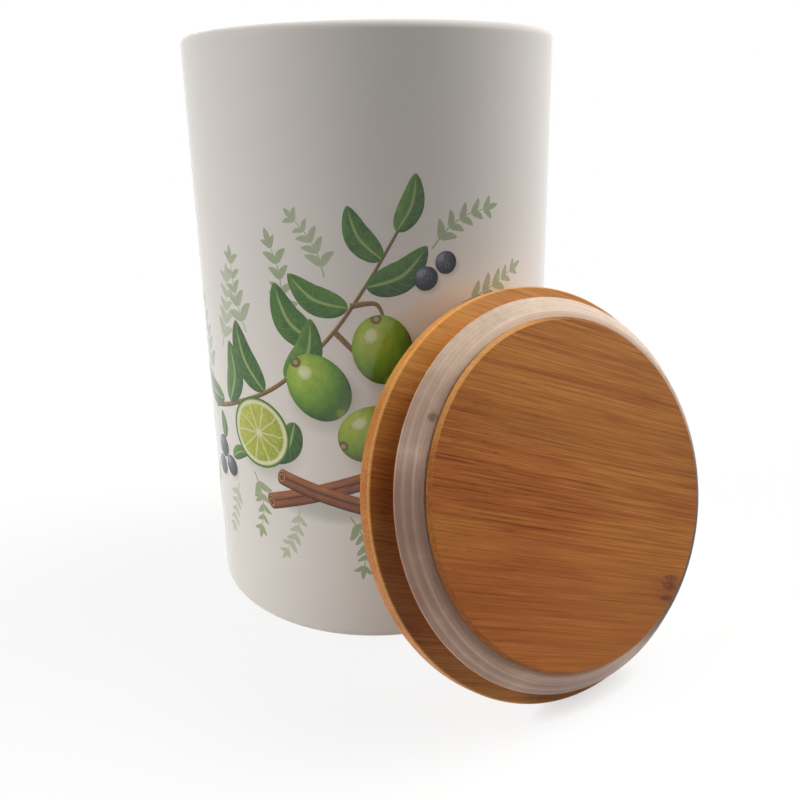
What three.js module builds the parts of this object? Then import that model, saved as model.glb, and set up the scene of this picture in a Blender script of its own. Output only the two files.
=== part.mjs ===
// Ceramic storage jar with its bamboo lid taken off.
// The lid stands on its edge on the table and leans against the wall, with its plug facing outwards.
// Millimetres, +Z up. The origin is on the jar's axis at the table, and the front faces -Y.

import * as THREE from 'three';

// Jar sizes
const JAR_DIAMETER = 100;
const JAR_HEIGHT = 156.6;
const WALL = 4;
const BASE_THICKNESS = 5;
const FOOT_ROUND = 2.5;
const FLOOR_ROUND = 5;

// Bamboo lid sizes: a flange that covers the rim and a plug that hangs in the mouth
const FLANGE_THICKNESS = 7.3;
const FLANGE_TOP_ROUND = 4.4;
const FLANGE_EDGE_EASE = 0.4;
const PLUG_CLEARANCE = 4.85;
const PLUG_HEIGHT = 10.1;
const PLUG_CHAMFER = 0.8;
const LIP_LAND = 0.5;
const GROOVE_START = 2;
const GROOVE_DEPTH = 2;

// Silicone seal sizes: a ring in the plug's groove, with fins that step inwards to the plug's face
const SEAL_GAP = 0.3;
const SEAL_SQUEEZE = 0.55;
const SEAL_BACK_WIDTH = 2.6;
const FIN_COUNT = 3;
const FIN_ROUND = 0.4;
const FIN_DEPTH = 0.15;
const FIRST_FIN_HEIGHT = 4.75;
const LAST_FIN_REACH = 2.1;

// How the lid stands beside the jar
const LEAN_AZIMUTH = THREE.MathUtils.degToRad(30.45);
const LEAN_TILT = THREE.MathUtils.degToRad(19.35);
const LEAN_SIDE_OFFSET = 5.3;
const LEAN_GAP = 0.3;

// Facets
const TURN_STEPS = 64;
const ROUND_STEPS = 5;
const FIN_STEPS = 4;

// Sizes that follow from the ones above
const jarRadius = JAR_DIAMETER / 2;
const boreRadius = jarRadius - WALL;
const rimRound = WALL / 2;
const flangeRadius = jarRadius;
const plugRadius = boreRadius - PLUG_CLEARANCE;
const grooveRadius = plugRadius - GROOVE_DEPTH;
const grooveEnd = PLUG_HEIGHT - PLUG_CHAMFER - LIP_LAND;

const glaze = new THREE.MeshStandardMaterial({ color: 0xf0eeeb, roughness: 0.15, metalness: 0 });
const bamboo = new THREE.MeshStandardMaterial({ color: 0xb57a42, roughness: 0.55, metalness: 0 });
const silicone = new THREE.MeshStandardMaterial({ color: 0xd9d2cb, roughness: 0.35, metalness: 0 });

// Points of an arc in the (radius, height) plane, both ends included
function arc(radius, height, round, fromDegrees, toDegrees, steps) {
  const points = [];
  for (let step = 0; step <= steps; step += 1) {
    const degrees = THREE.MathUtils.lerp(fromDegrees, toDegrees, step / steps);
    const angle = THREE.MathUtils.degToRad(degrees);
    points.push(new THREE.Vector2(radius + round * Math.cos(angle), height + round * Math.sin(angle)));
  }
  return points;
}

// A solid of revolution about +Z from a profile in the (radius, height) plane
function turned(profile) {
  const geometry = new THREE.LatheGeometry(profile, TURN_STEPS);
  geometry.rotateX(Math.PI / 2);
  return geometry;
}

function named(name, geometry, material) {
  const mesh = new THREE.Mesh(geometry, material);
  mesh.name = name;
  return mesh;
}

// The jar: a flat base, a rounded foot, a straight wall and a fully rounded rim
function jarProfile() {
  const footCentre = jarRadius - FOOT_ROUND;
  const floorCentre = boreRadius - FLOOR_ROUND;
  const rimHeight = JAR_HEIGHT - rimRound;
  const floorRoundHeight = BASE_THICKNESS + FLOOR_ROUND;
  return [
    new THREE.Vector2(0, 0),
    ...arc(footCentre, FOOT_ROUND, FOOT_ROUND, -90, 0, ROUND_STEPS),
    ...arc(jarRadius - rimRound, rimHeight, rimRound, 0, 180, 2 * ROUND_STEPS),
    ...arc(floorCentre, floorRoundHeight, FLOOR_ROUND, 0, -90, ROUND_STEPS),
    new THREE.Vector2(0, BASE_THICKNESS),
  ];
}

// The lid, turned from one board: height 0 is the flange's underside, and the plug points to +Z
function lidProfile() {
  const roundCentre = flangeRadius - FLANGE_TOP_ROUND;
  const roundHeight = FLANGE_TOP_ROUND - FLANGE_THICKNESS;
  return [
    new THREE.Vector2(0, -FLANGE_THICKNESS),
    ...arc(roundCentre, roundHeight, FLANGE_TOP_ROUND, -90, 0, ROUND_STEPS),
    new THREE.Vector2(flangeRadius, -FLANGE_EDGE_EASE),
    new THREE.Vector2(flangeRadius - FLANGE_EDGE_EASE, 0),
    new THREE.Vector2(plugRadius, 0),
    new THREE.Vector2(plugRadius, GROOVE_START),
    new THREE.Vector2(grooveRadius, GROOVE_START),
    new THREE.Vector2(grooveRadius, grooveEnd),
    new THREE.Vector2(plugRadius, grooveEnd),
    new THREE.Vector2(plugRadius, PLUG_HEIGHT - PLUG_CHAMFER),
    new THREE.Vector2(plugRadius - PLUG_CHAMFER, PLUG_HEIGHT),
    new THREE.Vector2(0, PLUG_HEIGHT),
  ];
}

// The seal: its foot fills the groove, and its fin tips lie on a cone that narrows to the plug's face
function sealProfile() {
  const inner = grooveRadius + SEAL_GAP;
  const back = GROOVE_START + SEAL_GAP;
  const front = grooveEnd - SEAL_GAP;
  const firstTip = new THREE.Vector2(boreRadius + SEAL_SQUEEZE - FIN_ROUND, FIRST_FIN_HEIGHT);
  const lastTip = new THREE.Vector2(plugRadius + LAST_FIN_REACH - FIN_ROUND, front - FIN_ROUND);
  const alongCone = lastTip.clone().sub(firstTip).normalize();
  const outOfCone = new THREE.Vector2(alongCone.y, -alongCone.x);
  const facing = THREE.MathUtils.radToDeg(outOfCone.angle());
  const tips = [];
  for (let fin = 0; fin < FIN_COUNT; fin += 1) {
    tips.push(firstTip.clone().lerp(lastTip, fin / Math.max(FIN_COUNT - 1, 1)));
  }
  const profile = [new THREE.Vector2(inner, back), new THREE.Vector2(inner + SEAL_BACK_WIDTH, back)];
  tips.forEach((tip, fin) => {
    if (fin > 0) {
      const valley = tips[fin - 1].clone().lerp(tip, 0.5).addScaledVector(outOfCone, -FIN_DEPTH);
      profile.push(valley);
    }
    profile.push(...arc(tip.x, tip.y, FIN_ROUND, facing - 90, facing + 90, FIN_STEPS));
  });
  profile.push(new THREE.Vector2(plugRadius, front), new THREE.Vector2(inner, front), profile[0].clone());
  return profile;
}

// Where the lid's centre goes, so that its edge stands on the table and its back leans on the wall
function leaningPlace(geometry, tip) {
  const point = new THREE.Vector3();
  const vertices = geometry.getAttribute('position');
  const reach = jarRadius + LEAN_GAP;
  let lowest = 0;
  let standoff = 0;
  for (let index = 0; index < vertices.count; index += 1) {
    point.fromBufferAttribute(vertices, index).applyEuler(tip);
    lowest = Math.min(lowest, point.z);
    const across = point.x + LEAN_SIDE_OFFSET;
    if (Math.abs(across) < reach) {
      standoff = Math.max(standoff, point.y + Math.sqrt(reach * reach - across * across));
    }
  }
  return new THREE.Vector3(LEAN_SIDE_OFFSET, -standoff, -lowest);
}

const lidGeometry = turned(lidProfile());
const lid = new THREE.Group();
lid.rotation.x = Math.PI / 2 - LEAN_TILT;
lid.position.copy(leaningPlace(lidGeometry, lid.rotation));
lid.add(named('bamboo_lid', lidGeometry, bamboo));
lid.add(named('seal_ring', turned(sealProfile()), silicone));

const leaningLid = new THREE.Group();
leaningLid.rotation.z = LEAN_AZIMUTH;
leaningLid.add(lid);

const storageJar = new THREE.Group();
storageJar.add(named('jar_body', turned(jarProfile()), glaze));
storageJar.add(leaningLid);

export default storageJar;
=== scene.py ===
"""Looks of a ceramic storage jar: a glazed jar with a printed front, and its bamboo lid with a silicone seal.

The lid stands on its edge beside the jar and leans on the wall, with its plug facing outwards.
Sizes are in millimetres, and MM turns them into the frame's metres. The front faces -Y, and +Z is up.
"""

import logging
import math
import random
from collections.abc import Callable, Iterable, Sequence
from dataclasses import dataclass, field
from enum import Enum

import bpy
from mathutils import Euler, Matrix, Vector


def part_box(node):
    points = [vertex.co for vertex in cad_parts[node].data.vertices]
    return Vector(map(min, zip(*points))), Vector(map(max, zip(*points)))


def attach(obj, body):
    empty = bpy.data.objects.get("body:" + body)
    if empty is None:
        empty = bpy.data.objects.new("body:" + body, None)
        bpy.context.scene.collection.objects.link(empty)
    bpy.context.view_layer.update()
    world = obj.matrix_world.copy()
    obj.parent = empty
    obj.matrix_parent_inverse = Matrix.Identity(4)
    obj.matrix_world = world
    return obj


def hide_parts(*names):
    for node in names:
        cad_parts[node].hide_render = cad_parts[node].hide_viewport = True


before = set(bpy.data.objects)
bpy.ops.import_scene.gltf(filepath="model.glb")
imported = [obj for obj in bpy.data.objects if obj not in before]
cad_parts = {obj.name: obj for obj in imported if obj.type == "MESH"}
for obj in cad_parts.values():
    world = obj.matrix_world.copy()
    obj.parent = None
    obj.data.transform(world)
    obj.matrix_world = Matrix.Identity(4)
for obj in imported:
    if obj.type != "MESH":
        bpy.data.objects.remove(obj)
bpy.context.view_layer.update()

MM = 0.001
WELD = 0.001
GLAZE_IOR = 1.5
FULL_TURN = 2 * math.pi
LOG = logging.getLogger("storage_jar")

Point = tuple[float, float]
Triple = tuple[float, float, float]
Colour = tuple[float, float, float, float]
Stops = tuple[tuple[float, Colour], ...]


def rgb(red: float, green: float, blue: float) -> Colour:
    """Return an opaque colour from its linear parts."""
    return (red, green, blue, 1.0)


def between(ends: Point, share: float) -> float:
    """Return the value at a share of the way from the first end to the second."""
    return ends[0] + (ends[1] - ends[0]) * share


class Body(Enum):
    """The bodies that pieces ride on."""

    JAR = "jar"
    LID = "lid"


class Slot(Enum):
    """The record's material slots."""

    PORCELAIN = "glazed_porcelain"
    BAMBOO = "bamboo"
    SILICONE = "silicone"


def operator(operation: str, reflected: bool = False) -> Callable[["Tone", "Feed"], "Tone"]:
    """Make a method of Tone that adds a Math node.

    Args:
        operation: the node's operation.
        reflected: whether the other value comes first.

    Returns:
        The method.
    """

    def method(tone: "Tone", other: "Feed") -> "Tone":
        """Return the result of the operation on two values."""
        values = (other, tone) if reflected else (tone, other)
        return tone.bench.math(operation, *values)

    return method


class Tone:
    """A value in a node tree, on which Python's operators add Math nodes."""

    __add__ = operator("ADD")
    __radd__ = operator("ADD", reflected=True)
    __sub__ = operator("SUBTRACT")
    __rsub__ = operator("SUBTRACT", reflected=True)
    __mul__ = operator("MULTIPLY")
    __rmul__ = operator("MULTIPLY", reflected=True)
    __truediv__ = operator("DIVIDE")
    __rtruediv__ = operator("DIVIDE", reflected=True)
    __pow__ = operator("POWER")
    __rpow__ = operator("POWER", reflected=True)
    most = operator("MAXIMUM")

    def __init__(self, bench: "NodeBench", socket: bpy.types.NodeSocket) -> None:
        """Keep the bench that makes nodes and the socket that gives the value."""
        self.bench = bench
        self.socket = socket

    def __abs__(self) -> "Tone":
        """Return the size of self without its sign."""
        return self.bench.math("ABSOLUTE", self)

    def clamped(self) -> "Tone":
        """Return self held between 0 and 1."""
        return self.bench.math("ADD", self, 0.0, clamp=True)

    def root(self) -> "Tone":
        """Return the square root of self, with what is under 0 taken as 0."""
        return self.bench.math("SQRT", self.most(0.0))

    def hypot(self, other: "Tone") -> "Tone":
        """Return the length of a step of self one way and of other square to it."""
        return (self * self + other * other).root()

    def part(self) -> "Tone":
        """Return what is left of self above its whole number."""
        return self.bench.math("FRACT", self)

    def step(self, low: float, high: float, origin: float = 0.0) -> "Tone":
        """Return a smooth step of self.

        Args:
            low: where the step starts.
            high: where the step ends. Below low, the step falls.
            origin: what low and high are measured from.

        Returns:
            0 before the step and 1 after it, or the other way round where it falls.
        """
        feeds = {
            "Value": self,
            "From Min": origin + min(low, high),
            "From Max": origin + max(low, high),
            "To Min": float(low > high),
            "To Max": float(low < high),
        }
        return self.bench.node("ShaderNodeMapRange", {"interpolation_type": "SMOOTHSTEP"}, feeds)


Feed = Tone | float | Sequence[float]


class NodeBench:
    """A node tree, with the one method that makes any node in it.

    MIX_FEEDS are the sockets of a colour Mix node's share and two colours, and MIX_RESULT is its result's.
    """

    MIX_FEEDS = (0, 6, 7)
    MIX_RESULT = 2

    def __init__(self, tree: bpy.types.NodeTree) -> None:
        """Keep the tree."""
        self.tree = tree

    def make(self, kind: str, settings: dict | None = None, feeds: dict | None = None) -> bpy.types.Node:
        """Make a node.

        Args:
            kind: the node's type.
            settings: its own settings, set first. The name stops gives a ramp's places and colours.
            feeds: the value or the link of each socket, by name or number.

        Returns:
            The node.
        """
        made = self.tree.nodes.new(kind)
        for name, value in (settings or {}).items():
            if name == "stops":
                self.fill_ramp(made.color_ramp, value)
            else:
                setattr(made, name, value)
        for name, value in (feeds or {}).items():
            self.feed(made.inputs[name], value)
        return made

    def node(self, kind: str, settings: dict | None = None, feeds: dict | None = None,
             output: int | str = 0) -> Tone:
        """Make a node and return one of its outputs."""
        return Tone(self, self.make(kind, settings, feeds).outputs[output])

    def feed(self, socket: bpy.types.NodeSocket, value: Feed) -> None:
        """Give a socket its value.

        Args:
            socket: the socket to feed.
            value: a tone, which is linked, or a plain value, which is set.
        """
        if isinstance(value, Tone):
            self.tree.links.new(value.socket, socket)
        else:
            socket.default_value = value

    @staticmethod
    def fill_ramp(ramp: bpy.types.ColorRamp, stops: Stops) -> None:
        """Give a ramp its stops.

        Args:
            ramp: the ramp, with the two stops that it starts with.
            stops: the places and colours that it gets, in order.
        """
        while len(ramp.elements) < len(stops):
            ramp.elements.new(1.0)
        for element, (place, colour) in zip(ramp.elements, stops):
            element.position = place
            element.color = colour

    def math(self, operation: str, *values: Feed, clamp: bool = False) -> Tone:
        """Add a Math node on one or two values."""
        settings = {"operation": operation, "use_clamp": clamp}
        return self.node("ShaderNodeMath", settings, dict(enumerate(values)))

    def measure(self, operation: str, *vectors: Feed) -> Tone:
        """Add a Vector Math node that turns one or two vectors into a value."""
        return self.node("ShaderNodeVectorMath", {"operation": operation}, dict(enumerate(vectors)), "Value")

    def split(self, vector: Tone) -> list[Tone]:
        """Return the three parts of a vector."""
        return [Tone(self, part) for part in self.make("ShaderNodeSeparateXYZ", feeds={0: vector}).outputs]

    def vector(self, *parts: Feed) -> Tone:
        """Return a vector made of up to three values."""
        return self.node("ShaderNodeCombineXYZ", feeds=dict(enumerate(parts)))

    def noise(self, vector: Tone, scale: float, detail: float, rough: float = 0.5) -> Tone:
        """Return noise from 0 to 1, mostly near a half."""
        feeds = {"Vector": vector, "Scale": scale, "Detail": detail, "Roughness": rough}
        return self.node("ShaderNodeTexNoise", feeds=feeds)

    def ramp(self, value: Tone, stops: Stops) -> Tone:
        """Return the colour of a value between stops."""
        return self.node("ShaderNodeValToRGB", {"stops": stops}, {0: value})

    def mix(self, share: Feed, first: Feed, second: Feed, blend: str = "MIX") -> Tone:
        """Return a colour between two, where a share of 1 gives the second."""
        feeds = dict(zip(self.MIX_FEEDS, (share, first, second)))
        return self.node("ShaderNodeMix", {"data_type": "RGBA", "blend_type": blend}, feeds, self.MIX_RESULT)

    def tint(self, colour: Feed, factor: Tone) -> Tone:
        """Return a colour made darker or lighter by a factor."""
        return self.mix(1.0, colour, self.vector(factor, factor, factor), "MULTIPLY")

    def layered(self, base: Feed, *layers: tuple[Feed, Feed]) -> Feed:
        """Lay colours over a base, one after the other.

        Args:
            base: the colour under them all.
            layers: for each, how far it covers what is under it, from 0 to 1, and its colour.

        Returns:
            The colour that shows.
        """
        for share, colour in layers:
            base = self.mix(share, base, colour)
        return base

    def place(self) -> Tone:
        """Return the place on the piece, in millimetres."""
        feeds = {0: self.node("ShaderNodeTexCoord", output="Object"), "Scale": 1 / MM}
        return self.node("ShaderNodeVectorMath", {"operation": "SCALE"}, feeds)

    def motif(self, layer: str) -> tuple[Tone, Tone]:
        """Return the two coordinates of a print's motif map, from -1 to 1."""
        across, along, _ = self.split(self.node("ShaderNodeUVMap", {"uv_map": layer}))
        return across * 2.0 - 1.0, along * 2.0 - 1.0

    def mark(self, name: str) -> Tone:
        """Return a mesh attribute's value."""
        return self.node("ShaderNodeAttribute", {"attribute_name": name}, output="Fac")

    def bump(self, height: Tone, distance: float, strength: float = 1.0) -> Tone:
        """Return a normal that follows a height from 0 to 1 over a depth in millimetres."""
        feeds = {"Height": height, "Distance": distance * MM, "Strength": strength}
        return self.node("ShaderNodeBump", feeds=feeds)


@dataclass(frozen=True)
class Spot:
    """A soft oval spot on a surface: its centre, its half sizes along two axes, and its strength."""

    centre: Point
    reach: Point
    share: float = 1.0

    def on(self, first: Tone, second: Tone) -> Tone:
        """Return the spot over a surface.

        Args:
            first: the place along the first axis.
            second: the place along the second axis.

        Returns:
            Its strength at the centre, falling to 0 at its reach.
        """
        aside = (first - self.centre[0]) / self.reach[0]
        above = (second - self.centre[1]) / self.reach[1]
        return (aside * aside + above * above).step(1.0, 0.0) * self.share


def strongest(spots: Iterable[Spot], first: Tone, second: Tone) -> Feed:
    """Lay several spots on a surface.

    Args:
        spots: the spots.
        first: the place along their first axis.
        second: the place along their second axis.

    Returns:
        The strength of the strongest spot at each place.
    """
    strength: Feed = 0.0
    for spot in spots:
        strength = spot.on(first, second).most(strength)
    return strength


class Finish:
    """What every finish shares: a material whose main shader is dressed by paint."""

    name: str

    def paint(self, bench: NodeBench) -> dict[str, Feed]:
        """Return the feeds of the main shader's sockets."""
        raise NotImplementedError

    def material(self) -> bpy.types.Material:
        """Make the material.

        Returns:
            The material, named for the finish.
        """
        made = bpy.data.materials.new(self.name)
        made.use_nodes = True
        bench = NodeBench(made.node_tree)
        shader = made.node_tree.nodes["Principled BSDF"]
        for socket, value in self.paint(bench).items():
            bench.feed(shader.inputs[socket], value)
        return made


@dataclass(frozen=True)
class GlazeFinish(Finish):
    """White gloss glaze, thin and warmer at the rim and the foot, with a bare matte base."""

    wall_radius: float
    rim_height: float
    shadows: tuple[Spot, ...]
    name: str = "glaze"
    body: Colour = rgb(0.81, 0.782, 0.745)
    thin: Colour = rgb(0.74, 0.705, 0.65)
    bare: Colour = rgb(0.66, 0.61, 0.53)
    shade: Colour = rgb(0.40, 0.42, 0.37)
    shade_share: float = 0.6
    thin_share: float = 0.45
    fleck_share: float = 0.25
    rim_band: Point = (-1.6, -0.2)
    foot_band: Point = (2.4, 0.6)
    bare_band: Point = (0.55, 0.4)
    outer_band: Point = (1.0, 0.5)
    gloss: float = 0.13
    matte: float = 0.8
    relief: float = 0.03

    def paint(self, bench: NodeBench) -> dict[str, Feed]:
        """Dress the glaze.

        Args:
            bench: the material's nodes.

        Returns:
            The feeds of the main shader's sockets.
        """
        place = bench.place()
        x, y, z = bench.split(place)
        cloud = bench.noise(place, 0.03, 2.0)
        peel = bench.noise(place, 0.55, 2.0)
        grain = bench.noise(place, 6.0, 3.0)
        fleck = bench.noise(place, 1.4, 1.0).step(0.77, 0.8)
        pooled = bench.noise(place, 0.12, 1.0) * 0.8
        edge = (z + pooled).step(*self.rim_band, self.rim_height)
        foot = (z - pooled).step(*self.foot_band)
        bare = (z + pooled * 0.3).step(*self.bare_band)
        colour = bench.layered(
            bench.tint(self.body, cloud * 0.06 + 0.97),
            ((edge + foot).clamped() * self.thin_share, self.thin),
            (self.printed_shade(bench, x, y, z), self.shade),
            (fleck * self.fleck_share, self.thin),
            (bare, self.bare),
        )
        return {
            "Base Color": colour,
            "Roughness": bare * (self.matte - self.gloss) + self.gloss + cloud * 0.03,
            "Normal": bench.bump(peel * 0.25 + bare * grain, self.relief),
            "IOR": GLAZE_IOR,
        }

    def printed_shade(self, bench: NodeBench, x: Tone, y: Tone, z: Tone) -> Tone:
        """Shade the glaze round the print's motifs.

        Args:
            bench: the material's nodes.
            x: the place to the right.
            y: the place to the back.
            z: the height.

        Returns:
            How strongly the print's soft shades show.
        """
        across = bench.math("ARCTAN2", x, y * -1.0) * self.wall_radius
        start, end = ((self.wall_radius - inward) ** 2 for inward in self.outer_band)
        outside = (x * x + y * y).step(start, end)
        return strongest(self.shadows, across, z) * outside * self.shade_share


class PrintFinish(Finish):
    """What every printed finish shares: an ink that is fired into the gloss of the glaze."""

    gloss: float = 0.14

    def ink(self, bench: NodeBench) -> Tone:
        """Return the colour of the print."""
        raise NotImplementedError

    def paint(self, bench: NodeBench) -> dict[str, Feed]:
        """Return the feeds of the main shader's sockets."""
        return {"Base Color": self.ink(bench), "Roughness": self.gloss, "IOR": GLAZE_IOR}

    @staticmethod
    def dome(bench: NodeBench) -> tuple[Tone, Tone, Tone]:
        """Return the way that a round motif faces: to the right, up and out of the wall."""
        right, up = bench.motif("shade")
        return right, up, (1.0 - right * right - up * up).root()

    @staticmethod
    def lit(facing: Sequence[Tone], light: Triple) -> Tone:
        """Return how squarely a surface faces a light."""
        return facing[0] * light[0] + facing[1] * light[1] + facing[2] * light[2]


@dataclass(frozen=True)
class LimeFinish(PrintFinish):
    """Printed whole limes: round shading, pores, a nipple at one end and a stalk scar at the other."""

    name: str = "print_lime"
    light: Triple = (-0.48, 0.52, 0.70)
    glint: Triple = (-0.36, 0.42, 0.83)
    nipple_place: float = 0.93
    scar_place: float = -0.9
    scar_squash: float = 0.7746
    peel: Stops = (
        (0.0, rgb(0.012, 0.045, 0.010)),
        (0.35, rgb(0.055, 0.17, 0.020)),
        (0.62, rgb(0.15, 0.34, 0.030)),
        (0.88, rgb(0.36, 0.54, 0.065)),
        (1.0, rgb(0.55, 0.66, 0.15)),
    )
    ripe: Colour = rgb(0.62, 0.58, 0.06)
    bounced: Colour = rgb(0.30, 0.46, 0.10)
    shine: Colour = rgb(0.86, 0.90, 0.62)
    nipple: Colour = rgb(0.30, 0.40, 0.05)
    scar: Colour = rgb(0.16, 0.12, 0.03)
    scar_heart: Colour = rgb(0.42, 0.34, 0.14)

    def ink(self, bench: NodeBench) -> Tone:
        """Paint the limes.

        Args:
            bench: the material's nodes.

        Returns:
            The colour of the print.
        """
        px, py = bench.motif("motif")
        facing = self.dome(bench)
        tone = bench.mark("tone")
        grain = bench.vector(px * 3.0, py * 3.0, tone * 9.0)
        mottle = bench.noise(grain, 1.2, 2.0) - 0.5
        pores = bench.noise(grain, 9.0, 1.0) - 0.5
        level = self.lit(facing, self.light) * 0.62 + 0.3 + mottle * 0.3 + pores * 0.22
        bounced = (facing[0] * 0.7 - facing[1] * 0.6).step(0.55, 1.0)
        shine = self.lit(facing, self.glint) + pores * 0.03
        from_nipple = (px - self.nipple_place).hypot(py)
        from_scar = (px - self.scar_place).hypot(py * self.scar_squash)
        return bench.layered(
            bench.ramp(level, self.peel),
            (tone * 0.4, bench.tint(self.ripe, level * 0.8 + 0.3)),
            (bounced * 0.35, self.bounced),
            (shine.step(0.955, 0.995) * 0.7, self.shine),
            (from_nipple.step(0.2, 0.08) * 0.55, self.nipple),
            (from_scar.step(0.17, 0.12), self.scar),
            (from_scar.step(0.09, 0.05), self.scar_heart),
        )


@dataclass(frozen=True)
class SliceFinish(PrintFinish):
    """Printed halved limes: rind, pith, a wheel of segments with juice sacs, and a pale core."""

    name: str = "print_slice"
    segments: int = 10
    pith_start: float = 0.84
    pith_band: Point = (-0.05, 0.0)
    rind_band: Point = (-0.02, 0.01)
    flesh: Stops = (
        (0.2, rgb(0.20, 0.28, 0.020)),
        (0.45, rgb(0.40, 0.46, 0.045)),
        (0.65, rgb(0.58, 0.60, 0.10)),
        (0.85, rgb(0.74, 0.74, 0.30)),
    )
    rind: Stops = (
        (0.925, rgb(0.28, 0.44, 0.07)),
        (0.965, rgb(0.07, 0.20, 0.022)),
        (1.0, rgb(0.035, 0.11, 0.015)),
    )
    skins: Colour = rgb(0.70, 0.70, 0.36)
    core: Colour = rgb(0.74, 0.73, 0.46)
    pith: Colour = rgb(0.76, 0.76, 0.50)

    def ink(self, bench: NodeBench) -> Tone:
        """Paint the slices.

        Args:
            bench: the material's nodes.

        Returns:
            The colour of the print.
        """
        px, py = bench.motif("motif")
        right, up = bench.motif("shade")
        away = px.hypot(py)
        angle = bench.math("ARCTAN2", py, px)
        wobble = bench.noise(bench.vector(px, py, 0.0), 2.2, 1.0)
        wheel = (angle / FULL_TURN * self.segments + wobble * 0.45).part()
        from_skin = (0.5 - abs(wheel - 0.5)) * away
        sacs = bench.noise(bench.vector(angle * 7.0, away * 3.2, wobble), 2.4, 2.0)
        fine = bench.noise(bench.vector(angle * 16.0, away * 6.0, 3.0), 2.6, 1.0)
        level = sacs * 0.75 + fine * 0.35 - 0.05 - right * 0.10 + up * 0.08
        flesh_edge = away + (wobble - 0.5) * 0.05
        rind_start = self.rind[0][0]
        return bench.layered(
            bench.ramp(level, self.flesh),
            (from_skin.step(0.06, 0.02) * 0.85, self.skins),
            (away.step(0.13, 0.07), self.core),
            (flesh_edge.step(*self.pith_band, self.pith_start), self.pith),
            (away.step(*self.rind_band, rind_start), bench.ramp(away, self.rind)),
        )


@dataclass(frozen=True)
class LeafFinish(PrintFinish):
    """Printed leaves: one half in the light, a pale midrib and slanting side veins."""

    name: str = "print_leaf"
    veins: float = 9.0
    slant: float = 1.5
    blade: Stops = (
        (0.0, rgb(0.012, 0.045, 0.014)),
        (0.35, rgb(0.04, 0.13, 0.026)),
        (0.65, rgb(0.10, 0.25, 0.04)),
        (1.0, rgb(0.28, 0.44, 0.10)),
    )
    vein: Colour = rgb(0.26, 0.42, 0.13)
    midrib: Colour = rgb(0.38, 0.50, 0.18)
    tip: Colour = rgb(0.22, 0.22, 0.05)

    def ink(self, bench: NodeBench) -> Tone:
        """Paint the leaves.

        Args:
            bench: the material's nodes.

        Returns:
            The colour of the print.
        """
        along, aside = bench.motif("motif")
        tone = bench.mark("tone")
        away = abs(aside)
        mottle = bench.noise(bench.vector(along * 2.5, aside * 1.2, tone * 7.0), 1.6, 3.0)
        wave = (along * 0.5 * self.veins - away * self.slant + mottle * 0.25).part()
        from_furrow = abs((wave - 0.5) * 2.0)
        furrow = from_furrow.step(0.9, 0.3)
        vein = (1.0 - from_furrow).step(0.2, 0.02) * away.step(1.0, 0.75)
        midrib = away.step(0.16, 0.05) * along.step(1.0, 0.4)
        level = 0.32 + bench.mark("lit") * 0.26 + (mottle - 0.5) * 0.55 + furrow * 0.06 + tone * 0.2
        return bench.layered(
            bench.ramp(level, self.blade),
            (vein * 0.35, self.vein),
            (midrib * 0.75, self.midrib),
            (along.step(0.75, 1.0) * 0.4, self.tip),
        )


@dataclass(frozen=True)
class BerryFinish(PrintFinish):
    """Printed dark berries with a pale bloom and a small crown."""

    name: str = "print_berry"
    light: Triple = (-0.5, 0.5, 0.70)
    points: int = 5
    crown_place: float = 0.28
    skin: Stops = (
        (0.0, rgb(0.006, 0.006, 0.012)),
        (0.5, rgb(0.022, 0.022, 0.045)),
        (0.85, rgb(0.09, 0.10, 0.16)),
        (1.0, rgb(0.26, 0.29, 0.38)),
    )
    crown: Colour = rgb(0.10, 0.11, 0.17)
    hollow: Colour = rgb(0.008, 0.008, 0.014)

    def ink(self, bench: NodeBench) -> Tone:
        """Paint the berries.

        Args:
            bench: the material's nodes.

        Returns:
            The colour of the print.
        """
        px, py = bench.motif("motif")
        mottle = bench.noise(bench.vector(px, py, bench.mark("tone") * 5.0), 2.2, 2.0)
        level = self.lit(self.dome(bench), self.light) + (mottle - 0.5) * 0.35
        beside = px - self.crown_place
        away = beside.hypot(py)
        star = bench.math("COSINE", bench.math("ARCTAN2", py, beside) * float(self.points)) * 0.09 + 0.25
        return bench.layered(
            bench.ramp(level, self.skin),
            ((star - away).step(0.0, 0.04) * 0.8, self.crown),
            (away.step(0.15, 0.1), self.hollow),
        )


@dataclass(frozen=True)
class TwigFinish(PrintFinish):
    """Printed woody twigs and stalks, lit along their upper side."""

    name: str = "print_twig"
    bark: Stops = (
        (0.0, rgb(0.05, 0.024, 0.008)),
        (0.45, rgb(0.22, 0.12, 0.035)),
        (1.0, rgb(0.52, 0.36, 0.14)),
    )

    def ink(self, bench: NodeBench) -> Tone:
        """Paint the twigs.

        Args:
            bench: the material's nodes.

        Returns:
            The colour of the print.
        """
        along, aside = bench.motif("motif")
        streak = bench.noise(bench.vector(along * 9.0, aside * 0.8, bench.mark("tone") * 5.0), 2.0, 2.0)
        level = 0.45 + bench.mark("lit") * 0.35 + (streak - 0.5) * 0.7
        return bench.ramp(level, self.bark)


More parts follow.
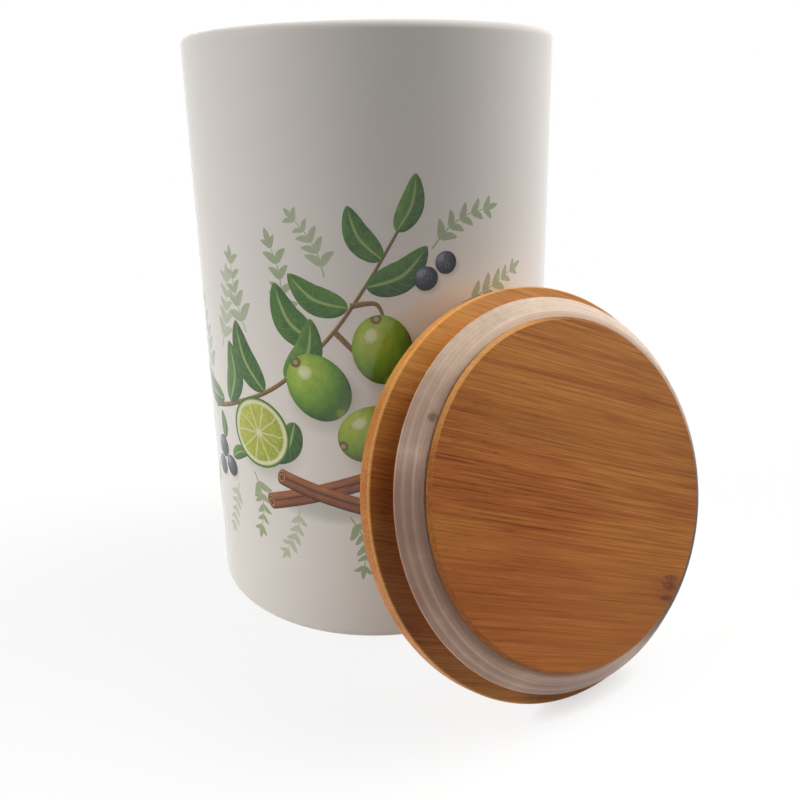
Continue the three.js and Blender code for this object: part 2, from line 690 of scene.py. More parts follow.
@dataclass(frozen=True)
class StickFinish(PrintFinish):
    """Printed cinnamon sticks: two rolls of red-brown bark side by side, with fibres along them."""

    name: str = "print_stick"
    crease_place: float = 0.08
    bark: Stops = (
        (0.0, rgb(0.035, 0.009, 0.004)),
        (0.4, rgb(0.19, 0.050, 0.016)),
        (0.7, rgb(0.38, 0.125, 0.038)),
        (1.0, rgb(0.60, 0.27, 0.10)),
    )
    crease: Colour = rgb(0.03, 0.008, 0.004)

    def ink(self, bench: NodeBench) -> Tone:
        """Paint the sticks.

        Args:
            bench: the material's nodes.

        Returns:
            The colour of the print.
        """
        along, aside = bench.motif("motif")
        tone = bench.mark("tone")
        fibre = bench.noise(bench.vector(along * 2.0, aside * 5.0, tone * 5.0), 1.6, 3.0)
        blotch = bench.noise(bench.vector(along * 3.0, aside, tone * 3.0), 1.4, 2.0)
        roll = abs(aside - self.crease_place)
        bulge = (1.0 - (roll * 2.0 - 1.0) ** 2.0).root()
        level = bulge * 0.45 + aside * 0.16 + (fibre - 0.5) * 0.6 + (blotch - 0.5) * 0.3 + 0.15
        return bench.layered(bench.ramp(level, self.bark), (roll.step(0.1, 0.02) * 0.8, self.crease))


@dataclass(frozen=True)
class StickEndFinish(PrintFinish):
    """Printed ends of the cinnamon sticks: bark rolled up round a dark hollow."""

    name: str = "print_stick_end"
    turns: float = 2.3
    hollow: Colour = rgb(0.03, 0.009, 0.005)
    bark: Colour = rgb(0.46, 0.19, 0.075)
    rim: Colour = rgb(0.20, 0.06, 0.02)

    def ink(self, bench: NodeBench) -> Tone:
        """Paint the ends.

        Args:
            bench: the material's nodes.

        Returns:
            The colour of the print.
        """
        px, py = bench.motif("motif")
        away = px.hypot(py)
        coil = (away * self.turns - bench.math("ARCTAN2", py, px) / FULL_TURN).part()
        bark = coil.step(0.15, 0.35) * coil.step(0.98, 0.8) * away.step(0.18, 0.28)
        return bench.layered(self.hollow, (bark, self.bark), (away.step(0.88, 0.97) * 0.6, self.rim))


@dataclass(frozen=True)
class SprigFinish(PrintFinish):
    """Pale sage sprigs behind the fruit, some fainter than others."""

    name: str = "print_sprig"
    sage: Colour = rgb(0.30, 0.39, 0.20)
    faint: Colour = rgb(0.66, 0.69, 0.57)

    def ink(self, bench: NodeBench) -> Tone:
        """Paint the sprigs.

        Args:
            bench: the material's nodes.

        Returns:
            The colour of the print.
        """
        along, aside = bench.motif("motif")
        tone = bench.mark("tone")
        wash = bench.noise(bench.vector(along, aside, tone * 9.0), 1.3, 2.0)
        share = tone * 0.55 + wash * 0.5 - 0.12
        return bench.mix(share.clamped(), self.sage, self.faint)


@dataclass(frozen=True)
class Board:
    """How the lid's board lies: a place, and axes along the grain, across it and through the board."""

    centre: Vector
    turn: Euler

    def place(self, bench: NodeBench) -> Tone:
        """Measure places in the board.

        Args:
            bench: the material's nodes.

        Returns:
            The place in the board, in millimetres.
        """
        where = bench.node("ShaderNodeTexCoord", output="Object")
        feeds = {"Vector": where, "Location": self.centre, "Rotation": self.turn, "Scale": (MM, MM, MM)}
        return bench.node("ShaderNodeMapping", {"vector_type": "TEXTURE"}, feeds)


@dataclass(frozen=True)
class BambooFinish(Finish):
    """Oiled caramel bamboo: fine straight fibre, strips of other tones, saw ticks and one node mark.

    Spots lie by their place along and across the grain. Starts are measured outwards from the lip's or the
    edge's radius, and rises from the lip's height or, for the corner, the flange's underside. Part of the
    colour is painted light and shade: a painted highlight on the chamfer's left side and over a lighter edge
    along the flange's corner, painted light on the flange's upper left and top and towards the top of the
    board, a painted shade tint and painted shade on the flange's lower left, lower right and bottom, and
    painted shade on the lower face.
    """

    board: Board
    lip_radius: float
    lip_height: float
    edge_radius: float
    name: str = "bamboo"
    lip_rise: Point = (-1.3, -1.1)
    lip_start: Point = (-1.0, -0.7)
    bevel_rise: Point = (-0.95, -0.75)
    face_rise: Point = (-3.0, -1.0)
    flange_start: Point = (0.4, 1.2)
    side_start: Point = (-0.7, -0.2)
    corner_start: Point = (-0.5, -0.25)
    corner_rise: Point = (-0.9, -0.5)
    joint: float = 25.5
    # painted light: the flange's upper left made lighter and more golden, where light falls on it
    pale: Spot = Spot((-37.0, 28.0), (30.0, 20.0))
    low: Spot = Spot((-12.0, -45.0), (34.0, 18.0), 0.36)
    plain: Spot = Spot((14.0, 40.0), (40.0, 28.0), 0.3)
    golds: tuple[Spot, ...] = (
        Spot((19.0, 9.0), (26.0, 8.0)),
        Spot((6.0, 36.0), (44.0, 18.0), 0.7),
        Spot((-18.0, 20.0), (24.0, 15.0), 0.7),
    )
    russet: Spot = Spot((-14.0, -2.0), (22.0, 12.0))
    # painted highlight on the chamfer, strongest at its upper left
    bevel_highlight: Spot = Spot((-34.0, 26.0), (30.0, 30.0), 0.65)
    # painted highlight on the flange's top
    upper: Spot = Spot((-20.0, 45.0), (26.0, 15.0), 0.24)
    # painted shade: the flange's lower left tinted duller and more mauve, where it lies in shade
    shade_veil: Spot = Spot((-28.0, -36.0), (42.0, 34.0), 0.26)
    # painted shade on the flange's lower right and bottom
    flange_shades: tuple[Spot, ...] = (
        Spot((34.0, -34.0), (22.0, 20.0), 0.6),
        Spot((11.0, -48.0), (15.0, 10.0), 0.55),
    )
    node_mark: Spot = Spot((32.4, -19.6), (6.5, 6.5), 0.3)
    node_dabs: tuple[Spot, ...] = (
        Spot((33.2, -17.0), (3.2, 1.2)),
        Spot((32.6, -19.0), (3.4, 1.8)),
        Spot((32.0, -21.8), (2.8, 1.2)),
    )
    wood: Stops = (
        (0.08, rgb(0.143, 0.034, 0.007)),
        (0.32, rgb(0.277, 0.075, 0.014)),
        (0.52, rgb(0.401, 0.125, 0.026)),
        (0.74, rgb(0.515, 0.196, 0.045)),
        (1.0, rgb(0.70, 0.345, 0.108)),
    )
    golden: Colour = rgb(0.49, 0.200, 0.037)
    # a lighter edge colour, used for the painted highlight on the chamfer, the flange's corner and its top
    worn_and_highlight: Colour = rgb(0.70, 0.355, 0.11)
    # painted shade tint for the flange's lower left
    dust_and_shade_tint: Colour = rgb(0.42, 0.210, 0.145)
    shaded: Colour = rgb(0.07, 0.028, 0.024)
    # painted shade: a darker, duller brown for the lower face
    lower_face_shade: Colour = rgb(0.353, 0.114, 0.032)
    marked: Colour = rgb(0.10, 0.032, 0.026)
    sheen: float = 0.16
    relief: float = 0.05

    def paint(self, bench: NodeBench) -> dict[str, Feed]:
        """Dress the bamboo.

        Args:
            bench: the material's nodes.

        Returns:
            The feeds of the main shader's sockets.
        """
        along, across, depth = bench.split(self.board.place(bench))

        def grain(length: float, width: float, through: float, detail: float, rough: float = 0.5) -> Tone:
            """Return noise drawn out along the grain, by its waves a millimetre along, across and through."""
            place = bench.vector(along * length, across * width, depth * through)
            return bench.noise(place, 1.0, detail, rough)

        def on(spot: Spot) -> Tone:
            """Return a spot on the board."""
            return spot.on(along, across)

        # Grain
        fibre = grain(0.035, 1.7, 1.7, 3.0, 0.6)
        thread = grain(0.09, 4.4, 4.4, 2.0)
        streak = grain(0.02, 2.3, 2.3, 1.0)
        strip = grain(0.008, 0.22, 0.05, 2.0)
        patch = grain(0.022, 0.075, 0.05, 2.0)
        tick = grain(0.3, 3.0, 3.0, 1.0)
        smudge = grain(0.4, 1.1, 1.0, 2.0)

        # Regions of the turned lid
        radius = along.hypot(across)
        on_lip = depth.step(*self.lip_rise, self.lip_height)
        lip = radius.step(*self.lip_start, self.lip_radius) * on_lip
        bevel = lip * depth.step(*self.bevel_rise, self.lip_height)
        face = depth.step(*self.face_rise, self.lip_height)
        flange = radius.step(*self.flange_start, self.lip_radius)
        side = radius.step(*self.side_start, self.edge_radius)
        corner = radius.step(*self.corner_start, self.edge_radius) * depth.step(*self.corner_rise)

        # How light the wood is, with painted light and shade among its own tones
        # painted light on the flange's upper left
        pale = on(self.pale) * flange
        level = 0.5 + (fibre - 0.5) * 0.9 + (thread - 0.5) * 0.62 + (strip - 0.5) * 0.4 + (patch - 0.5) * 0.2
        level = level - streak.step(0.56, 0.74) * 0.15
        level = level - tick.step(0.6, 0.72) * along.step(5.0, -30.0) * 0.16
        level = level - abs(across - self.joint + (patch - 0.5) * 2.0).step(0.9, 0.1) * 0.16
        level = level + side * 0.18 + pale * 0.34 + flange * 0.045
        level = level + on(self.low) * flange - on(self.plain) * lip
        # painted light towards the top of the board, and a little painted shade towards its bottom
        level = level + across.step(8.0, 40.0) * 0.17 - across.step(-12.0, -40.0) * 0.03

        # Where other tones lie over it, with painted highlights and painted shade among them
        gold = patch.step(0.42, 0.62) + sum(on(spot) for spot in self.golds)
        gold = (gold.clamped() * (1.0 - on(self.russet)) + pale).clamped()
        # painted highlight on the chamfer's left side, strongest at its upper left
        bevel_highlight = along.step(6.0, -26.0) * 0.12 + on(self.bevel_highlight)
        # a lighter edge along the flange's corner with a painted highlight on it, and painted highlights on
        # the chamfer and the flange's top
        edge_wear_and_highlight = (bevel * bevel_highlight + corner * 0.6).most(on(self.upper) * flange)
        dabs = strongest(self.node_dabs, along + (smudge - 0.5) * 3.0, across)
        mark = on(self.node_mark).most(dabs)
        colour = bench.layered(
            bench.ramp(level, self.wood),
            # the wood's golden strips, with painted light on the flange's upper left
            (gold * 0.4 + pale * 0.25, bench.tint(self.golden, level * 0.9 + 0.5)),
            # painted highlight, over a lighter edge, on the chamfer, the flange's corner and its top
            (edge_wear_and_highlight, bench.tint(self.worn_and_highlight, level * 0.5 + 0.75)),
            # painted shade tint on the flange's lower left
            (on(self.shade_veil) * flange, self.dust_and_shade_tint),
            # painted shade on the flange's lower right and bottom
            (strongest(self.flange_shades, along, across) * flange, self.shaded),
            # painted shade over the lower face
            (across.step(-4.0, -26.0) * face * 0.4, self.lower_face_shade),
            (mark * face * (smudge * 0.9 + 0.2), self.marked),
        )
        return {
            "Base Color": colour,
            "Roughness": 0.62 - fibre * 0.14,
            "Normal": bench.bump(fibre * 0.6 + thread * 0.4, self.relief, 0.6),
            "Specular IOR Level": self.sheen,
        }


@dataclass(frozen=True)
class SiliconeFinish(Finish):
    """Milky silicone rubber, lightly dusted, with one fleck of bamboo on it.

    Spots lie by their place along and across the lid's grain. Much of the seal's shading is painted into its
    colour: painted shade on its left and bottom and, near black, on its right side, painted light on its top
    and in the shade at its front edge by the plug, and painted warm light towards its bottom.
    """

    board: Board
    fleck_place: Triple
    fleck_size: float = 1.4
    line_pitch: float = 0.75
    front_radius: float = 42.4
    front_band: Point = (1.2, 0.0)
    edge_band: Point = (-0.3, -1.0)
    shades: tuple[Spot, ...] = (
        Spot((-43.0, -11.0), (18.0, 15.0), 0.76),
        Spot((-38.0, -24.0), (14.0, 14.0), 0.58),
        Spot((-42.0, 12.0), (13.0, 13.0), 0.38),
        Spot((-31.0, -31.0), (12.0, 12.0), 0.36),
        Spot((-20.0, -38.0), (12.0, 12.0), 0.22),
        Spot((8.0, -43.0), (17.0, 13.0), 0.6),
    )
    # painted light on the seal's top
    lit: Spot = Spot((0.0, 44.0), (30.0, 18.0), 0.22)
    # painted light in the shade at the seal's front edge, at its top and bottom
    fronts: tuple[Spot, ...] = (
        Spot((-12.0, 40.0), (40.0, 30.0), 0.7),
        Spot((8.0, -44.0), (30.0, 22.0), 0.4),
    )
    # painted light in the shade where the seal's front edge meets the plug
    edge: Spot = Spot((-24.0, -24.0), (50.0, 50.0), 0.7)
    # painted shade, near black, on the seal's right side
    hidden: Spot = Spot((41.0, -12.0), (22.0, 42.0), 0.85)
    name: str = "silicone"
    milky: Colour = rgb(0.56, 0.425, 0.32)
    # the silicone's own dust colour
    dust_and_shade_tint: Colour = rgb(0.665, 0.515, 0.40)
    # painted warm light, as from the bamboo through the silicone, towards the seal's bottom
    painted_warm_light: Colour = rgb(0.50, 0.28, 0.245)
    fleck: Colour = rgb(0.22, 0.125, 0.055)
    shaded: Colour = rgb(0.27, 0.155, 0.113)
    # the colour of the seal's painted light
    painted_light: Colour = rgb(0.92, 0.74, 0.58)
    dark: Colour = rgb(0.055, 0.038, 0.030)
    relief: float = 0.01
    ior: float = 1.41
    milkiness: float = 0.55
    glow_spread: Triple = (1.0, 0.72, 0.58)
    glow_depth: float = 1.6

    def paint(self, bench: NodeBench) -> dict[str, Feed]:
        """Dress the silicone.

        Args:
            bench: the material's nodes.

        Returns:
            The feeds of the main shader's sockets.
        """
        place = self.board.place(bench)
        along, across, _ = bench.split(place)
        radius = along.hypot(across)
        dust = bench.noise(place, 0.35, 3.0)
        fine = bench.noise(place, 3.0, 2.0)
        from_fleck = bench.measure("DISTANCE", place, self.fleck_place)
        ragged = from_fleck + (bench.noise(place, 0.8, 2.0) - 0.5) * 2.2
        # painted light at the seal's front edge, at its top and bottom
        front = radius.step(*self.front_band, self.front_radius) * strongest(self.fronts, along, across)
        # painted light in the shade where the seal's front edge meets the plug
        edge = radius.step(*self.edge_band, self.front_radius) * self.edge.on(along, across)
        lines = bench.math("SINE", radius * (FULL_TURN / self.line_pitch)) * 0.05 + 1.0
        colour = bench.layered(
            self.milky,
            (dust.step(0.3, 0.75), self.dust_and_shade_tint),
            # painted warm light towards the seal's bottom
            (across.step(25.0, -20.0) * 0.3, self.painted_warm_light),
            (ragged.step(self.fleck_size, self.fleck_size * 0.35), self.fleck),
            (strongest(self.shades, along, across), self.shaded),
            # painted light on the seal's top and at its front edge
            (self.lit.on(along, across).most(front).most(edge), self.painted_light),
            # painted shade, near black, on the seal's right side
            (self.hidden.on(along, across), self.dark),
        )
        return {
            "Base Color": bench.tint(colour, lines),
            "Roughness": dust * 0.16 + 0.32,
            "Normal": bench.bump(fine, self.relief),
            "IOR": self.ior,
            "Subsurface Weight": self.milkiness,
            "Subsurface Radius": self.glow_spread,
            "Subsurface Scale": self.glow_depth * MM,
        }


class Workshop:
    """Hand tools that the sub-assemblies share."""

    @staticmethod
    def pick(*pieces: bpy.types.Object) -> None:
        """Select some pieces, or none.

        Args:
            pieces: what stays selected. The first of them becomes the active one.
        """
        bpy.ops.object.select_all(action="DESELECT")
        for piece in pieces:
            piece.select_set(True)
        if pieces:
            bpy.context.view_layer.objects.active = pieces[0]

    @staticmethod
    def label(piece: bpy.types.Object, name: str) -> None:
        """Name a piece and its mesh."""
        piece.name = name
        piece.data.name = name

    @staticmethod
    def arc(centre: Point, radius: float, start: float, end: float, steps: int) -> list[Point]:
        """Draw an arc.

        Args:
            centre: its centre.
            radius: its radius.
            start: the angle where it starts, in degrees.
            end: the angle where it ends, in degrees.
            steps: how many straight steps it takes.

        Returns:
            Its points, both ends included.
        """
        points = []
        for step in range(steps + 1):
            angle = math.radians(start + (end - start) * step / steps)
            points.append((centre[0] + radius * math.cos(angle), centre[1] + radius * math.sin(angle)))
        return points

    @classmethod
    def turned(cls, name: str, profile: Sequence[Point], steps: int) -> bpy.types.Object:
        """Turn a solid about the Z axis.

        Args:
            name: the piece's name.
            profile: its points by radius and height, from one end on the axis to the other, or a closed loop.
            steps: how many facets go round.

        Returns:
            The turned piece at the origin.
        """
        cls.pick()
        bpy.ops.mesh.primitive_plane_add(size=MM, calc_uvs=False)
        piece = bpy.context.active_object
        cls.label(piece, name)
        bpy.ops.object.mode_set(mode="EDIT")
        bpy.ops.mesh.select_mode(type="VERT")
        bpy.ops.mesh.select_all(action="SELECT")
        bpy.ops.mesh.merge(type="CENTER")
        bpy.ops.transform.translate(value=(profile[0][0] * MM, 0.0, profile[0][1] * MM))
        for before, after in zip(profile, profile[1:]):
            move = ((after[0] - before[0]) * MM, 0.0, (after[1] - before[1]) * MM)
            bpy.ops.mesh.extrude_region_move(TRANSFORM_OT_translate={"value": move})
        bpy.ops.mesh.select_all(action="SELECT")
        bpy.ops.mesh.spin(steps=steps, angle=FULL_TURN, center=(0.0, 0.0, 0.0), axis=(0.0, 0.0, 1.0))
        bpy.ops.mesh.select_all(action="SELECT")
        bpy.ops.mesh.remove_doubles(threshold=WELD * MM)
        bpy.ops.mesh.normals_make_consistent(inside=False)
        bpy.ops.object.mode_set(mode="OBJECT")
        return piece

    @classmethod
    def smoothed(cls, piece: bpy.types.Object, degrees: float) -> None:
        """Shade a piece smooth, apart from edges sharper than an angle."""
        cls.pick(piece)
        bpy.ops.object.shade_smooth_by_angle(angle=math.radians(degrees))

    @staticmethod
    def dressed(piece: bpy.types.Object, finish: Finish, body: Body, slot: Slot, *nodes: str) -> None:
        """Dress a piece and report it.

        Args:
            piece: the piece.
            finish: its finish.
            body: the body that it rides on.
            slot: its material slot in the record. It is not used.
            nodes: the CAD nodes that it stands for.
        """
        piece.data.materials.clear()
        piece.data.materials.append(finish.material())
        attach(piece, body.value)
        if nodes:
            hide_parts(*nodes)
        LOG.info("%s: %d faces on %s", piece.name, len(piece.data.polygons), body.value)


@dataclass
class PorcelainJar:
    """The glazed jar: a flat base, a rounded foot, a straight wall and a fully rounded rim."""

    radius: float
    height: float
    wall: float = 4.0
    base: float = 5.0
    foot_round: float = 2.5
    floor_round: float = 5.0
    facets: int = 288
    round_steps: int = 12
    wall_rows: int = 8
    support: float = 0.6
    sharp: float = 40.0

    def profile(self) -> list[Point]:
        """Draw the jar's profile.

        Returns:
            Its points, from the middle of the base to the middle of the floor.
        """
        rim_round = self.wall / 2
        bore = self.radius - self.wall
        rim_start = self.height - rim_round
        foot_centre = (self.radius - self.foot_round, self.foot_round)
        floor_centre = (bore - self.floor_round, self.base + self.floor_round)
        foot = Workshop.arc(foot_centre, self.foot_round, -90, 0, self.round_steps)
        rim = Workshop.arc((self.radius - rim_round, rim_start), rim_round, 0, 180, 2 * self.round_steps)
        floor = Workshop.arc(floor_centre, self.floor_round, 0, -90, self.round_steps)
        outside = self.rows(self.radius, self.foot_round + self.support, rim_start - self.support)
        inside = self.rows(bore, rim_start - self.support, floor_centre[1] + self.support)
        first = [(0.0, 0.0), (foot_centre[0] - self.support, 0.0)]
        last = [(floor_centre[0] - self.support, self.base), (0.0, self.base)]
        return first + foot + outside + rim + inside + floor + last

    def rows(self, radius: float, start: float, end: float) -> list[Point]:
        """Return evenly spaced points up or down a straight wall."""
        return [(radius, start + (end - start) * row / self.wall_rows) for row in range(self.wall_rows + 1)]

    def build(self, shadows: tuple[Spot, ...]) -> None:
        """Turn the jar and glaze it.

        Args:
            shadows: the soft shades of the print, by arc length and height on the wall.
        """
        piece = Workshop.turned("porcelain_jar", self.profile(), self.facets)
        Workshop.smoothed(piece, self.sharp)
        finish = GlazeFinish(self.radius, self.height, shadows)
        Workshop.dressed(piece, finish, Body.JAR, Slot.PORCELAIN, "jar_body")


@dataclass(frozen=True)
class Fruit:
    """A round motif, by arc length and height on the wall, with its half sizes and its turn in degrees."""

    across: float
    height: float
    long: float
    short: float
    turn: float
    tone: float
    layer: int


@dataclass(frozen=True)
class Leaf:
    """A leaf, by the place of its stalk, its heading in degrees, its length, half width and bend."""

    across: float
    height: float
    heading: float
    length: float
    half_width: float
    bend: float
    tone: float
    layer: int


@dataclass(frozen=True)
class Route:
    """A smooth line through points on the flat print."""

    points: tuple[Point, ...]

    def at(self, share: float) -> tuple[Vector, Vector]:
        """Find a place on the line.

        Args:
            share: how far along the line it is, from 0 to 1.

        Returns:
            The point, and the direction to the line's left there.
        """
        spans = len(self.points) - 1
        span = min(int(share * spans), spans - 1)
        local = share * spans - span
        corners = [Vector(self.points[min(max(span + k, 0), spans)]) for k in (-1, 0, 1, 2)]
        slope_in = (corners[2] - corners[0]) / 2
        slope_out = (corners[3] - corners[1]) / 2
        square = local * local
        cube = square * local
        point = (
            corners[1] * (2 * cube - 3 * square + 1)
            + slope_in * (cube - 2 * square + local)
            + corners[2] * (3 * square - 2 * cube)
            + slope_out * (cube - square)
        )
        ahead = (
            (corners[2] - corners[1]) * (6 * local - 6 * square)
            + slope_in * (3 * square - 4 * local + 1)
            + slope_out * (3 * square - 2 * local)
        )
        return point, Vector((-ahead.y, ahead.x)).normalized()


@dataclass
class FrontPrint:
    """The fired print on the jar's front: limes on a leafy twig, slices, cinnamon, berries and pale sprigs.

    Motifs lie by arc length and height on the wall, and a sprig's root also has its heading and length.
    """

    radius: float
    first_lift: float = 0.012
    layer_lift: float = 0.007
    thickness: float = 0.13
    sharp: float = 30.0
    light: Point = (-0.70, 0.71)
    shade_shift: Point = (0.22, -0.34)
    shade_spread: Point = (1.28, 1.12)
    stick_shade_shift: Point = (1.0, -3.2)
    stick_shade_spread: float = 0.56
    stick_shade_height: float = 5.2
    disc_sides: int = 56
    disc_rings: int = 9
    limes: tuple[Fruit, ...] = (
        Fruit(-15.0, 72.0, 9.4, 7.9, -48.0, 0.10, 6),
        Fruit(1.5, 82.0, 8.8, 7.4, -80.0, 0.35, 5),
        Fruit(-2.0, 60.0, 8.6, 7.3, 25.0, 0.55, 7),
        Fruit(17.0, 68.0, 8.8, 7.5, -35.0, 0.20, 6),
        Fruit(33.0, 57.0, 8.2, 7.0, 15.0, 0.45, 5),
    )
    slices: tuple[Fruit, ...] = (
        Fruit(-34.0, 57.0, 10.2, 9.8, 12.0, 0.3, 8),
        Fruit(15.0, 49.0, 9.6, 9.2, 40.0, 0.5, 8),
    )
    berries: tuple[Fruit, ...] = (
        Fruit(-53.5, 47.5, 3.3, 3.2, 70.0, 0.2, 6),
        Fruit(-48.6, 43.0, 3.1, 3.0, -20.0, 0.6, 7),
        Fruit(-55.6, 41.0, 3.0, 2.9, 150.0, 0.9, 7),
        Fruit(12.5, 99.0, 3.0, 2.9, 30.0, 0.4, 6),
        Fruit(17.6, 102.5, 2.8, 2.7, -60.0, 0.8, 6),
        Fruit(31.0, 80.0, 3.1, 3.0, 200.0, 0.5, 6),
        Fruit(36.0, 76.5, 2.9, 2.8, 100.0, 0.1, 6),
    )
    leaves: tuple[Leaf, ...] = (
        Leaf(-50.0, 62.5, 158.0, 17.0, 3.6, 0.16, 0.30, 3),
        Leaf(-46.0, 63.0, 84.0, 17.5, 3.8, -0.14, 0.70, 4),
        Leaf(-31.0, 69.0, 118.0, 20.0, 4.2, 0.12, 0.15, 3),
        Leaf(-24.0, 73.5, 64.0, 18.0, 4.0, -0.16, 0.85, 4),
        Leaf(-14.0, 83.0, 128.0, 19.0, 4.3, 0.15, 0.45, 3),
        Leaf(-6.5, 92.5, 152.0, 17.0, 3.7, 0.13, 0.75, 4),
        Leaf(-2.0, 97.5, 32.0, 17.5, 3.9, -0.14, 0.20, 3),
        Leaf(2.0, 104.0, 122.0, 15.0, 3.3, 0.12, 0.55, 4),
        Leaf(5.5, 110.5, 70.0, 14.0, 3.0, -0.10, 0.90, 3),
        Leaf(-22.0, 62.0, 236.0, 15.0, 3.5, 0.14, 0.35, 4),
        Leaf(10.0, 75.0, 22.0, 18.0, 4.0, 0.14, 0.60, 3),
        Leaf(24.0, 63.0, 64.0, 18.0, 4.0, -0.15, 0.25, 4),
        Leaf(38.0, 60.0, 18.0, 16.0, 3.6, 0.15, 0.80, 3),
        Leaf(26.0, 52.0, -38.0, 15.0, 3.4, 0.12, 0.40, 4),
        Leaf(-47.0, 46.5, 22.0, 9.0, 2.0, 0.10, 0.95, 5),
        Leaf(-52.0, 50.5, 96.0, 8.0, 1.9, -0.10, 0.50, 5),
    )
    leaf_grid: tuple[int, int] = (26, 8)
    leaf_widest: float = 0.82
    leaf_fullness: float = 0.85
    leaf_blunt: float = 0.03
    twigs: tuple[Route, ...] = (
        Route(((-57.0, 59.0), (-44.0, 63.0), (-27.0, 71.0), (-12.0, 84.5), (-2.0, 98.0), (6.0, 111.0))),
        Route(((-24.0, 73.0), (-20.0, 76.5), (-19.0, 79.0))),
        Route(((-6.0, 93.0), (0.0, 93.5), (2.0, 90.0))),
        Route(((-1.0, 100.0), (6.0, 98.0), (12.0, 100.5))),
        Route(((-10.0, 86.5), (2.0, 76.0), (20.0, 72.0), (36.0, 62.0))),
    )
    twig_grid: tuple[int, int] = (60, 4)
    twig_half_width: float = 0.75
    twig_taper: Point = (1.0, 0.45)
    twig_layer: int = 2
    sticks: tuple[tuple[Point, Point], ...] = (
        ((-31.0, 38.0), (-3.0, 47.5)),
        ((-27.0, 46.0), (1.0, 38.5)),
    )
    stick_grid: tuple[int, int] = (40, 8)
    stick_half_width: float = 2.3
    stick_end_squash: float = 0.55
    stick_end_tone: float = 0.5
    first_stick_layer: int = 9
    sprig_roots: tuple[tuple[float, float, float, float], ...] = (
        (-58.0, 66.0, 100.0, 22.0),
        (-48.0, 78.0, 70.0, 20.0),
        (-36.0, 84.0, 112.0, 19.0),
        (-25.0, 88.0, 78.0, 20.0),
        (-62.0, 52.0, 190.0, 14.0),
        (-60.0, 40.0, 232.0, 15.0),
        (-45.0, 39.0, 250.0, 16.0),
        (-37.0, 45.0, 292.0, 17.0),
        (-22.0, 38.0, 262.0, 15.0),
        (-8.0, 37.0, 300.0, 16.0),
        (8.0, 41.0, 262.0, 16.0),
        (24.0, 42.0, 300.0, 16.0),
        (14.0, 106.0, 48.0, 18.0),
        (22.0, 92.0, 18.0, 18.0),
        (38.0, 70.0, 40.0, 20.0),
        (46.0, 56.0, 350.0, 16.0),
        (40.0, 48.0, 310.0, 15.0),
        (-12.0, 100.0, 104.0, 16.0),
    )
    seed: int = 11
    sprig_spans: int = 3
    sprig_curl: float = 38.0
    sprig_pairs: int = 5
    stem_grid: tuple[int, int] = (18, 1)
    stem_half_width: Point = (0.22, 0.10)
    leaflet_grid: tuple[int, int] = (8, 2)
    leaflet_length: Point = (0.30, 0.17)
    leaflet_vary: Point = (0.85, 1.15)
    leaflet_spread: Point = (38.0, 56.0)
    leaflet_half_width: float = 0.2
    leaflet_bend: float = 0.1
    last_leaflet_gap: float = 0.4
    tip_leaflet_length: float = 0.2
    blanks: dict[str, bpy.types.Object] = field(default_factory=dict)

    def shadows(self) -> tuple[Spot, ...]:
        """Shade the wall under the motifs, down to the right.

        Returns:
            The soft shades, by arc length and height on the wall.
        """
        found = []
        for fruit in self.limes + self.slices + self.berries:
            reach = max(fruit.long, fruit.short)
            right, up = (shift * reach for shift in self.shade_shift)
            wide, tall = (spread * reach for spread in self.shade_spread)
            found.append(Spot((fruit.across + right, fruit.height + up), (wide, tall)))
        for start, end in self.sticks:
            across, height = ((a + b) / 2 + shift for a, b, shift in zip(start, end, self.stick_shade_shift))
            wide = abs(end[0] - start[0]) * self.stick_shade_spread
            found.append(Spot((across, height), (wide, self.stick_shade_height)))
        return tuple(found)

    def disc_blank(self) -> bpy.types.Object:
        """Make a flat disc of radius 1 with even rings, once.

        Returns:
            The disc.
        """
        if "disc" not in self.blanks:
            Workshop.pick()
            bpy.ops.mesh.primitive_circle_add(vertices=self.disc_sides, radius=1.0, fill_type="NGON",
                                              calc_uvs=False)
            blank = bpy.context.active_object
            bpy.ops.object.mode_set(mode="EDIT")
            bpy.ops.mesh.select_all(action="SELECT")
            for _ in range(self.disc_rings):
                bpy.ops.mesh.inset(thickness=1.0 / (self.disc_rings + 1), depth=0.0)
            bpy.ops.mesh.merge(type="CENTER")
            bpy.ops.object.mode_set(mode="OBJECT")
            self.blanks["disc"] = blank
        return self.blanks["disc"]

    def strip_blank(self, along: int, aside: int) -> bpy.types.Object:
        """Make a flat grid from -1 to 1, once.

        Args:
            along: how many faces it has along it.
            aside: how many faces it has across it.

        Returns:
            The grid.
        """
        key = f"strip_{along}_{aside}"
        if key not in self.blanks:
            Workshop.pick()
            bpy.ops.mesh.primitive_grid_add(x_subdivisions=along, y_subdivisions=aside, size=2.0,
                                            calc_uvs=False)
            self.blanks[key] = bpy.context.active_object
        return self.blanks[key]

    def wrapped(self, across: float, height: float, layer: int) -> Vector:
        """Wrap a point of the flat print round the wall.

        Args:
            across: its arc length from the middle of the front.
            height: its height.
            layer: how many motifs lie under it.

        Returns:
            Its place, in metres.
        """
        reach = self.radius + self.first_lift + layer * self.layer_lift
        angle = across / self.radius
        return Vector((reach * math.sin(angle), -reach * math.cos(angle), height)) * MM

